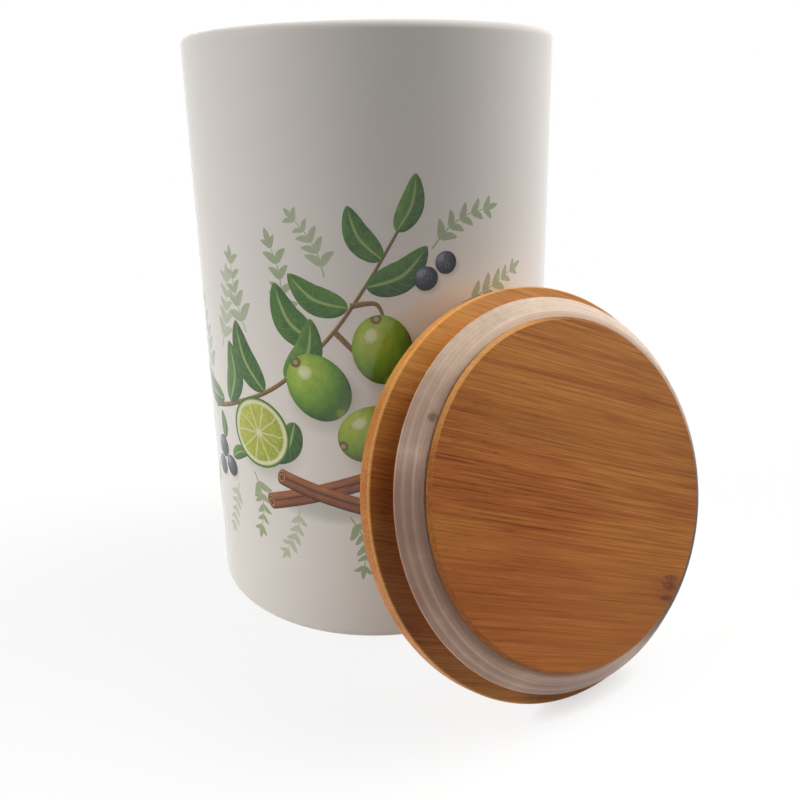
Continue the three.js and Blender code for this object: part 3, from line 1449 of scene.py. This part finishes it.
    def laid(self, blank: bpy.types.Object, spot: Callable[[float, float], tuple], tone: float,
             layer: int) -> bpy.types.Object:
        """Copy a blank and lay it on the wall.

        Args:
            blank: the flat blank to copy.
            spot: gives, for a blank's point, its place on the flat print, its shading pair and how lit it is.
            tone: the motif's own tone, from 0 to 1.
            layer: how many motifs lie under it.

        Returns:
            The laid copy, with its motif maps and marks.
        """
        piece = blank.copy()
        piece.data = blank.data.copy()
        bpy.context.scene.collection.objects.link(piece)
        mesh = piece.data
        spots = [(vertex.co.x, vertex.co.y) for vertex in mesh.vertices]
        placed = [spot(*at) for at in spots]
        for vertex, (point, _, _) in zip(mesh.vertices, placed):
            vertex.co = self.wrapped(point[0], point[1], layer)
        maps = {"motif": spots, "shade": [shade for _, shade, _ in placed]}
        for name, values in maps.items():
            layer_map = mesh.uv_layers.new(name=name)
            for loop in mesh.loops:
                pair = values[loop.vertex_index]
                layer_map.uv[loop.index].vector = (pair[0] / 2 + 0.5, pair[1] / 2 + 0.5)
        marks = {"tone": [tone] * len(placed), "lit": [lit for _, _, lit in placed]}
        for name, values in marks.items():
            mesh.attributes.new(name, "FLOAT", "POINT").data.foreach_set("value", values)
        return piece

    def fruit(self, motif: Fruit) -> bpy.types.Object:
        """Lay a round motif, with its shading kept upright however it is turned.

        Args:
            motif: the motif.

        Returns:
            The laid motif.
        """
        turn = Matrix.Rotation(math.radians(motif.turn), 2)

        def spot(x: float, y: float) -> tuple:
            """Place a point of the disc."""
            offset = turn @ Vector((x * motif.long, y * motif.short))
            return (motif.across + offset.x, motif.height + offset.y), turn @ Vector((x, y)), 0.0

        return self.laid(self.disc_blank(), spot, motif.tone, motif.layer)

    def ribbon(self, route: Route, width: Callable[[float], float], tone: float, layer: int,
               grid: tuple[int, int]) -> bpy.types.Object:
        """Lay a strip along a route.

        Args:
            route: the line along its middle.
            width: gives its half width at a share of its length.
            tone: its own tone, from 0 to 1.
            layer: how many motifs lie under it.
            grid: how many faces it has along and across it.

        Returns:
            The laid strip.
        """
        light = Vector(self.light)

        def spot(x: float, y: float) -> tuple:
            """Place a point of the strip.

            Args:
                x: how far along the strip it is, from -1 to 1.
                y: how far across the strip it is, from -1 to 1.

            Returns:
                Its place on the flat print, its shading pair and how lit it is.
            """
            share = (x + 1) / 2
            point, left = route.at(share)
            return tuple(point + left * (y * width(share))), (x, y), y * left.dot(light)

        return self.laid(self.strip_blank(*grid), spot, tone, layer)

    def leaf(self, motif: Leaf, grid: tuple[int, int]) -> bpy.types.Object:
        """Lay a leaf that is widest before its middle and comes to a point.

        Args:
            motif: the leaf.
            grid: how many faces it has along and across it.

        Returns:
            The laid leaf.
        """
        heading = math.radians(motif.heading)
        ahead = Vector((math.cos(heading), math.sin(heading)))
        side = Vector((-ahead.y, ahead.x))
        base = Vector((motif.across, motif.height))
        middle = base + ahead * motif.length * 0.5 + side * motif.bend * motif.length
        tip = base + ahead * motif.length
        route = Route((tuple(base), tuple(middle), tuple(tip)))

        def width(share: float) -> float:
            """Return the half width at a share of the length."""
            swell = math.sin(math.pi * share ** self.leaf_widest) ** self.leaf_fullness
            return motif.half_width * swell + self.leaf_blunt

        return self.ribbon(route, width, motif.tone, motif.layer, grid)

    def sprig(self, root: tuple[float, float, float, float], tone: float, layer: int,
              draw: random.Random) -> list[bpy.types.Object]:
        """Lay one sprig: a curved stem with pairs of leaflets and one at its tip.

        Args:
            root: the place of its root, its heading in degrees and its length.
            tone: its own tone, from 0 to 1.
            layer: how many motifs lie under it.
            draw: the source of its small differences.

        Returns:
            The laid stem and leaflets.
        """
        across, height, heading, length = root
        curl = math.radians(draw.uniform(-self.sprig_curl, self.sprig_curl))
        reach = length / self.sprig_spans
        points = [(across, height)]
        for span in range(self.sprig_spans):
            angle = math.radians(heading) + curl * span / (self.sprig_spans - 1)
            last = points[-1]
            points.append((last[0] + math.cos(angle) * reach, last[1] + math.sin(angle) * reach))
        route = Route(tuple(points))

        def stem_width(share: float) -> float:
            """Return the stem's half width at a share of its length."""
            return between(self.stem_half_width, share)

        def leaflet(share: float, turn: float, size: float, bend: float) -> bpy.types.Object:
            """Lay a leaflet.

            Args:
                share: where on the stem it grows.
                turn: how far it turns from the stem, in degrees.
                size: its length.
                bend: its bend.

            Returns:
                The laid leaflet.
            """
            point, left = route.at(share)
            ahead = math.degrees(math.atan2(-left.x, left.y))
            half_width = size * self.leaflet_half_width
            blade = Leaf(point.x, point.y, ahead + turn, size, half_width, bend, tone, layer)
            return self.leaf(blade, self.leaflet_grid)

        pieces = [self.ribbon(route, stem_width, tone, layer, self.stem_grid)]
        for pair in range(1, self.sprig_pairs + 1):
            share = pair / (self.sprig_pairs + self.last_leaflet_gap)
            size = length * between(self.leaflet_length, share) * draw.uniform(*self.leaflet_vary)
            for side in (-1, 1):
                turn = side * draw.uniform(*self.leaflet_spread)
                pieces.append(leaflet(share, turn, size, -self.leaflet_bend * side))
        pieces.append(leaflet(1.0, 0.0, length * self.tip_leaflet_length, 0.0))
        return pieces

    def joined(self, name: str, pieces: Iterable[bpy.types.Object], finish: Finish) -> None:
        """Join motifs into one printed piece, give it its thickness and dress it.

        Args:
            name: the piece's name.
            pieces: the laid motifs.
            finish: the piece's finish.
        """
        Workshop.pick(*pieces)
        bpy.ops.object.join()
        piece = bpy.context.active_object
        Workshop.label(piece, name)
        skin = piece.modifiers.new("thickness", "SOLIDIFY")
        skin.thickness = self.thickness * MM
        skin.offset = -1.0
        bpy.ops.object.modifier_apply(modifier=skin.name)
        Workshop.smoothed(piece, self.sharp)
        Workshop.dressed(piece, finish, Body.JAR, Slot.PORCELAIN)

    def build_sprigs(self) -> None:
        """Print the sprigs, with neighbours on two layers."""
        draw = random.Random(self.seed)
        sprigs = []
        for number, root in enumerate(self.sprig_roots):
            sprigs += self.sprig(root, draw.random(), number % 2, draw)
        self.joined("print_sprigs", sprigs, SprigFinish())

    def build_twigs(self) -> None:
        """Print the twigs, thinner to their ends."""

        def width(share: float) -> float:
            """Return a twig's half width at a share of its length."""
            return self.twig_half_width * between(self.twig_taper, share)

        twigs = []
        for number, route in enumerate(self.twigs):
            tone = number / len(self.twigs)
            twigs.append(self.ribbon(route, width, tone, self.twig_layer, self.twig_grid))
        self.joined("print_twigs", twigs, TwigFinish())

    def build_sticks(self) -> None:
        """Print the cinnamon sticks, and the rolled ends on top of them."""

        def width(_: float) -> float:
            """Return a stick's half width, the same all along."""
            return self.stick_half_width

        sticks = []
        ends = []
        for number, (start, end) in enumerate(self.sticks):
            layer = self.first_stick_layer + 2 * number
            tone = number / len(self.sticks)
            sticks.append(self.ribbon(Route((start, end)), width, tone, layer, self.stick_grid))
            turn = math.degrees(math.atan2(end[1] - start[1], end[0] - start[0]))
            thin = self.stick_half_width * self.stick_end_squash
            roll = Fruit(*start, thin, self.stick_half_width, turn, self.stick_end_tone, layer + 1)
            ends.append(self.fruit(roll))
        self.joined("print_sticks", sticks, StickFinish())
        self.joined("print_stick_ends", ends, StickEndFinish())

    def build(self) -> None:
        """Print every kind of motif as a piece of its own."""
        self.build_sprigs()
        self.build_twigs()
        self.joined("print_leaves", [self.leaf(leaf, self.leaf_grid) for leaf in self.leaves], LeafFinish())
        self.build_sticks()
        self.joined("print_berries", [self.fruit(berry) for berry in self.berries], BerryFinish())
        self.joined("print_limes", [self.fruit(lime) for lime in self.limes], LimeFinish())
        self.joined("print_slices", [self.fruit(half) for half in self.slices], SliceFinish())
        for blank in self.blanks.values():
            bpy.data.objects.remove(blank)


@dataclass
class LeaningLid:
    """The bamboo lid and its seal, turned about the plug's axis and leaned on the wall.

    Heights run along the plug from the flange's underside.
    """

    flange_radius: float
    flange: float = 7.3
    top_round: float = 4.4
    edge_ease: float = 0.5
    corner_ease: float = 0.2
    plug_radius: float = 41.15
    plug: float = 10.1
    chamfer: float = 0.8
    land: float = 0.5
    groove_start: float = 2.0
    groove_depth: float = 2.0
    back_support: float = 1.0
    face_support: float = 0.6
    seal_gap: float = 0.3
    seal_reach: float = 46.55
    seal_back: float = 2.6
    fins: int = 3
    fin_round: float = 0.4
    fin_swell: float = 0.14
    front_round: float = 1.6
    first_fin: float = 4.75
    last_fin_reach: float = 2.1
    azimuth: float = 30.45
    tilt: float = 19.35
    grain: float = -22.5
    fleck_angle: float = 144.0
    fleck_radius: float = 42.4
    fleck_height: float = 8.45
    facets: int = 256
    round_steps: int = 10
    edge_steps: int = 4
    corner_steps: int = 3
    fin_steps: int = 5
    wave_steps: int = 14
    front_steps: int = 8
    lid_sharp: float = 28.0
    seal_sharp: float = 40.0

    def lean(self) -> Euler:
        """Return how the plug's axis is turned from +Z."""
        return Euler((math.radians(90 - self.tilt), 0.0, math.radians(self.azimuth)))

    def centre(self) -> Vector:
        """Find the middle of the flange's underside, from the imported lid's own points.

        Returns:
            Its place, in metres.
        """
        points = [vertex.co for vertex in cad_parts["bamboo_lid"].data.vertices]
        middle = sum(points, Vector()) / len(points)
        axis = self.lean().to_matrix() @ Vector((0.0, 0.0, 1.0))
        face = max(point.dot(axis) for point in points)
        return middle + axis * (face - self.plug * MM - middle.dot(axis))

    def board(self) -> Board:
        """Return how the board lies, with its first axis along the grain."""
        grain = Matrix.Rotation(math.radians(self.grain), 3, "Z")
        return Board(self.centre(), (self.lean().to_matrix() @ grain).to_euler())

    def groove_end(self) -> float:
        """Return the height where the groove ends."""
        return self.plug - self.chamfer - self.land

    def lid_profile(self) -> list[Point]:
        """Draw the lid's profile.

        Returns:
            Its points, from the middle of its back to the middle of its plug's face.
        """
        top = self.top_round
        ease = self.edge_ease
        small = self.corner_ease
        side = self.plug_radius
        groove = side - self.groove_depth
        groove_end = self.groove_end()
        back_edge = self.flange_radius - top
        face_edge = side - self.chamfer
        return (
            [(0.0, -self.flange), (back_edge - self.back_support, -self.flange)]
            + Workshop.arc((back_edge, top - self.flange), top, -90, 0, self.round_steps)
            + Workshop.arc((self.flange_radius - ease, -ease), ease, 0, 90, self.edge_steps)
            + Workshop.arc((side + small, small), small, 270, 180, self.corner_steps)
            + [(side, self.groove_start), (groove, self.groove_start), (groove, groove_end)]
            + Workshop.arc((side - small, groove_end + small), small, -90, 0, self.corner_steps)
            + [(side, self.plug - self.chamfer), (face_edge, self.plug)]
            + [(face_edge - self.face_support, self.plug), (0.0, self.plug)]
        )

    def seal_profile(self) -> list[Point]:
        """Draw the seal's profile, with its fins on a cone that narrows to the plug's face.

        Returns:
            Its points, as a closed loop.
        """
        inner = self.plug_radius - self.groove_depth + self.seal_gap
        back = self.groove_start + self.seal_gap
        front = self.groove_end() - self.seal_gap
        first = Vector((self.seal_reach - self.fin_round, self.first_fin))
        last = Vector((self.plug_radius + self.last_fin_reach - self.fin_round, front - self.fin_round))
        along = (last - first).normalized()
        out = Vector((along.y, -along.x))
        facing = math.degrees(math.atan2(out.y, out.x))
        points = [(inner, back), (inner + self.seal_back, back)]
        points += Workshop.arc(tuple(first), self.fin_round, facing - 90, facing, self.fin_steps)[:-1]
        deeper = self.front_round - self.fin_round
        back_off = deeper * (1 - out.y) / along.y
        cone = 1 - back_off / (last - first).length
        waves = self.fins - 1
        steps = self.wave_steps * waves
        for step in range(steps):
            share = cone * step / steps
            crest = math.cos(math.pi * share * waves) ** 2
            rise = self.fin_round - self.fin_swell * (1 - crest)
            points.append(tuple(first.lerp(last, share) + out * rise))
        front_centre = last - out * deeper - along * back_off
        points += Workshop.arc(tuple(front_centre), self.front_round, facing, 90, self.front_steps)
        points += [(self.plug_radius, front), (inner, front), (inner, back)]
        return points

    def leaned(self, name: str, profile: Sequence[Point], sharp: float) -> bpy.types.Object:
        """Turn a piece and lean it in its mesh, with its object left at the origin.

        Args:
            name: the piece's name.
            profile: its profile about the plug's axis.
            sharp: the angle past which an edge stays sharp, in degrees.

        Returns:
            The leaned piece.
        """
        piece = Workshop.turned(name, profile, self.facets)
        piece.data.transform(Matrix.Translation(self.centre()) @ self.lean().to_matrix().to_4x4())
        Workshop.smoothed(piece, sharp)
        return piece

    def build_lid(self) -> None:
        """Build the lid and finish it in bamboo."""
        piece = self.leaned("bamboo_board", self.lid_profile(), self.lid_sharp)
        finish = BambooFinish(self.board(), self.plug_radius, self.plug, self.flange_radius)
        Workshop.dressed(piece, finish, Body.LID, Slot.BAMBOO, "bamboo_lid")

    def build_seal(self) -> None:
        """Build the seal and finish it in silicone."""
        piece = self.leaned("silicone_seal", self.seal_profile(), self.seal_sharp)
        angle = math.radians(self.fleck_angle - self.grain)
        fleck = (self.fleck_radius * math.cos(angle), self.fleck_radius * math.sin(angle), self.fleck_height)
        finish = SiliconeFinish(self.board(), fleck)
        Workshop.dressed(piece, finish, Body.LID, Slot.SILICONE, "seal_ring")


@dataclass(frozen=True)
class Glow:
    """A soft lobe of light from one side: its azimuth from the front, its elevation, strength and focus."""

    azimuth: float
    elevation: float
    strength: float
    focus: float

    def direction(self) -> Vector:
        """Find the direction that the light comes from.

        Returns:
            The direction, one long.
        """
        azimuth = math.radians(self.azimuth)
        elevation = math.radians(self.elevation)
        level = math.cos(elevation)
        return Vector((math.sin(azimuth) * level, -math.cos(azimuth) * level, math.sin(elevation)))


@dataclass
class Studio:
    """The camera, a white floor that keeps a soft shadow, and soft light from the sides, above and behind."""

    camera_back: float = 237.91
    camera_height: float = 137.9
    yaw: float = 1.51
    pitch: float = -16.99
    roll: float = -1.19
    lens: float = 36.417
    sensor: float = 36.0
    shift: Point = (0.003867, -0.05529)
    nearest: float = 10.0
    white: Colour = rgb(1.0, 1.0, 1.0)
    light: Colour = rgb(1.0, 0.977, 0.955)
    base_light: float = 0.01
    glows: tuple[Glow, ...] = (
        Glow(-74.5, 16.5, 6.8, 16.0),
        Glow(98.0, 19.0, 5.7, 20.0),
        Glow(106.0, 54.0, 7.6, 16.4),
        Glow(188.0, 22.0, 2.0, 18.0),
    )
    floor_size: float = 8000.0
    near_floor: Colour = rgb(0.78, 0.73, 0.68)
    far_floor: Colour = rgb(0.08, 0.08, 0.08)
    bounce_centre: Triple = (-45.0, -55.0, 0.0)
    bounce_start: float = 60.0
    bounce_end: float = 190.0
    shadow_share: float = 0.15
    shadow_start: float = 105.0
    shadow_end: float = 420.0
    contact_place: Point = (49.0, -74.0)
    contact_turn: float = 30.45
    contact: Spot = Spot((0.0, 0.0), (24.0, 6.0), 0.4)

    def build_camera(self) -> None:
        """Make the camera at the photograph's viewing angle."""
        yaw, pitch, roll = (math.radians(angle) for angle in (self.yaw, self.pitch, self.roll))
        ahead = Vector((math.sin(yaw) * math.cos(pitch), math.cos(yaw) * math.cos(pitch), math.sin(pitch)))
        level = Vector((math.cos(yaw), -math.sin(yaw), 0.0))
        upward = level.cross(ahead)
        right = level * math.cos(roll) + upward * math.sin(roll)
        up = upward * math.cos(roll) - level * math.sin(roll)
        data = bpy.data.cameras.new("camera")
        data.sensor_fit = "HORIZONTAL"
        data.sensor_width = self.sensor
        data.lens = self.lens
        data.shift_x, data.shift_y = self.shift
        data.clip_start = self.nearest * MM
        camera = bpy.data.objects.new("camera", data)
        bpy.context.scene.collection.objects.link(camera)
        axes = Matrix((right, up, -ahead)).transposed()
        place = Vector((0.0, -self.camera_back, self.camera_height)) * MM
        camera.matrix_world = Matrix.Translation(place) @ axes.to_4x4()
        bpy.context.scene.camera = camera

    @staticmethod
    def seen(bench: NodeBench, hidden: Tone, shown: Tone) -> Tone:
        """Give rays that show the background a shader of their own.

        Args:
            bench: the nodes of the floor or the world.
            hidden: the shader that lights the object.
            shown: the shader for straight and mirrored rays, and for rays through glass.

        Returns:
            The two shaders, mixed by the kind of ray.
        """
        path = bench.make("ShaderNodeLightPath")
        rays = [Tone(bench, path.outputs[f"Is {kind} Ray"]) for kind in ("Camera", "Glossy", "Transmission")]
        return bench.node("ShaderNodeMixShader", feeds={0: sum(rays).clamped(), 1: hidden, 2: shown})

    def contact_shade(self, bench: NodeBench, place: Tone) -> Tone:
        """Shade the floor where the lid's edge stands.

        Args:
            bench: the floor's nodes.
            place: the place on the floor.

        Returns:
            How dark the soft streak is.
        """
        x, y, _ = bench.split(place)
        turn = math.radians(self.contact_turn)
        aside = x - self.contact_place[0]
        ahead = y - self.contact_place[1]
        along = aside * math.cos(turn) + ahead * math.sin(turn)
        across = ahead * math.cos(turn) - aside * math.sin(turn)
        return self.contact.on(along, across)

    def build_floor(self) -> None:
        """Lay a white floor that shows a soft shadow near the object and fades into the backdrop."""
        Workshop.pick()
        bpy.ops.mesh.primitive_plane_add(size=self.floor_size * MM)
        floor = bpy.context.active_object
        floor.name = "floor"
        made = bpy.data.materials.new("floor")
        made.use_nodes = True
        made.node_tree.nodes.clear()
        bench = NodeBench(made.node_tree)
        place = bench.place()
        shadow = bench.measure("LENGTH", place).step(self.shadow_end, self.shadow_start) * self.shadow_share
        shadow = shadow.most(self.contact_shade(bench, place))
        white = bench.node("ShaderNodeEmission", feeds={"Color": self.white, "Strength": 1.0})
        matt = bench.node("ShaderNodeBsdfDiffuse", feeds={"Color": self.white})
        shown = bench.node("ShaderNodeMixShader", feeds={0: shadow, 1: white, 2: matt})
        near = bench.measure("DISTANCE", place, self.bounce_centre).step(self.bounce_end, self.bounce_start)
        grey = bench.mix(near, self.far_floor, self.near_floor)
        bounce = bench.node("ShaderNodeBsdfDiffuse", feeds={"Color": grey})
        bench.make("ShaderNodeOutputMaterial", feeds={"Surface": self.seen(bench, bounce, shown)})
        floor.data.materials.append(made)

    def build_light(self) -> None:
        """Light the scene from the world alone, with soft lobes and a white backdrop."""
        world = bpy.data.worlds.new("studio")
        world.use_nodes = True
        bpy.context.scene.world = world
        world.node_tree.nodes.clear()
        bench = NodeBench(world.node_tree)
        direction = bench.node("ShaderNodeTexCoord", output="Generated")
        strength: Feed = self.base_light
        for glow in self.glows:
            facing = bench.measure("DOT_PRODUCT", direction, glow.direction())
            strength = facing.most(0.0) ** glow.focus * glow.strength + strength
        light = bench.node("ShaderNodeBackground", feeds={"Color": self.light, "Strength": strength})
        white = bench.node("ShaderNodeBackground", feeds={"Color": self.white, "Strength": 1.0})
        bench.make("ShaderNodeOutputWorld", feeds={"Surface": self.seen(bench, light, white)})


def main() -> None:
    """Build the studio and every piece of the jar, in order."""
    logging.basicConfig(level=logging.INFO, format="%(name)s: %(message)s")
    bpy.context.scene.view_settings.view_transform = "Standard"
    studio = Studio()
    studio.build_camera()
    studio.build_floor()
    studio.build_light()
    low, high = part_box("jar_body")
    radius = (high.x - low.x) / 2 / MM
    height = high.z / MM
    front = FrontPrint(radius)
    PorcelainJar(radius, height).build(front.shadows())
    front.build()
    lid = LeaningLid(radius)
    lid.build_lid()
    lid.build_seal()


if __name__ == "__main__":
    main()
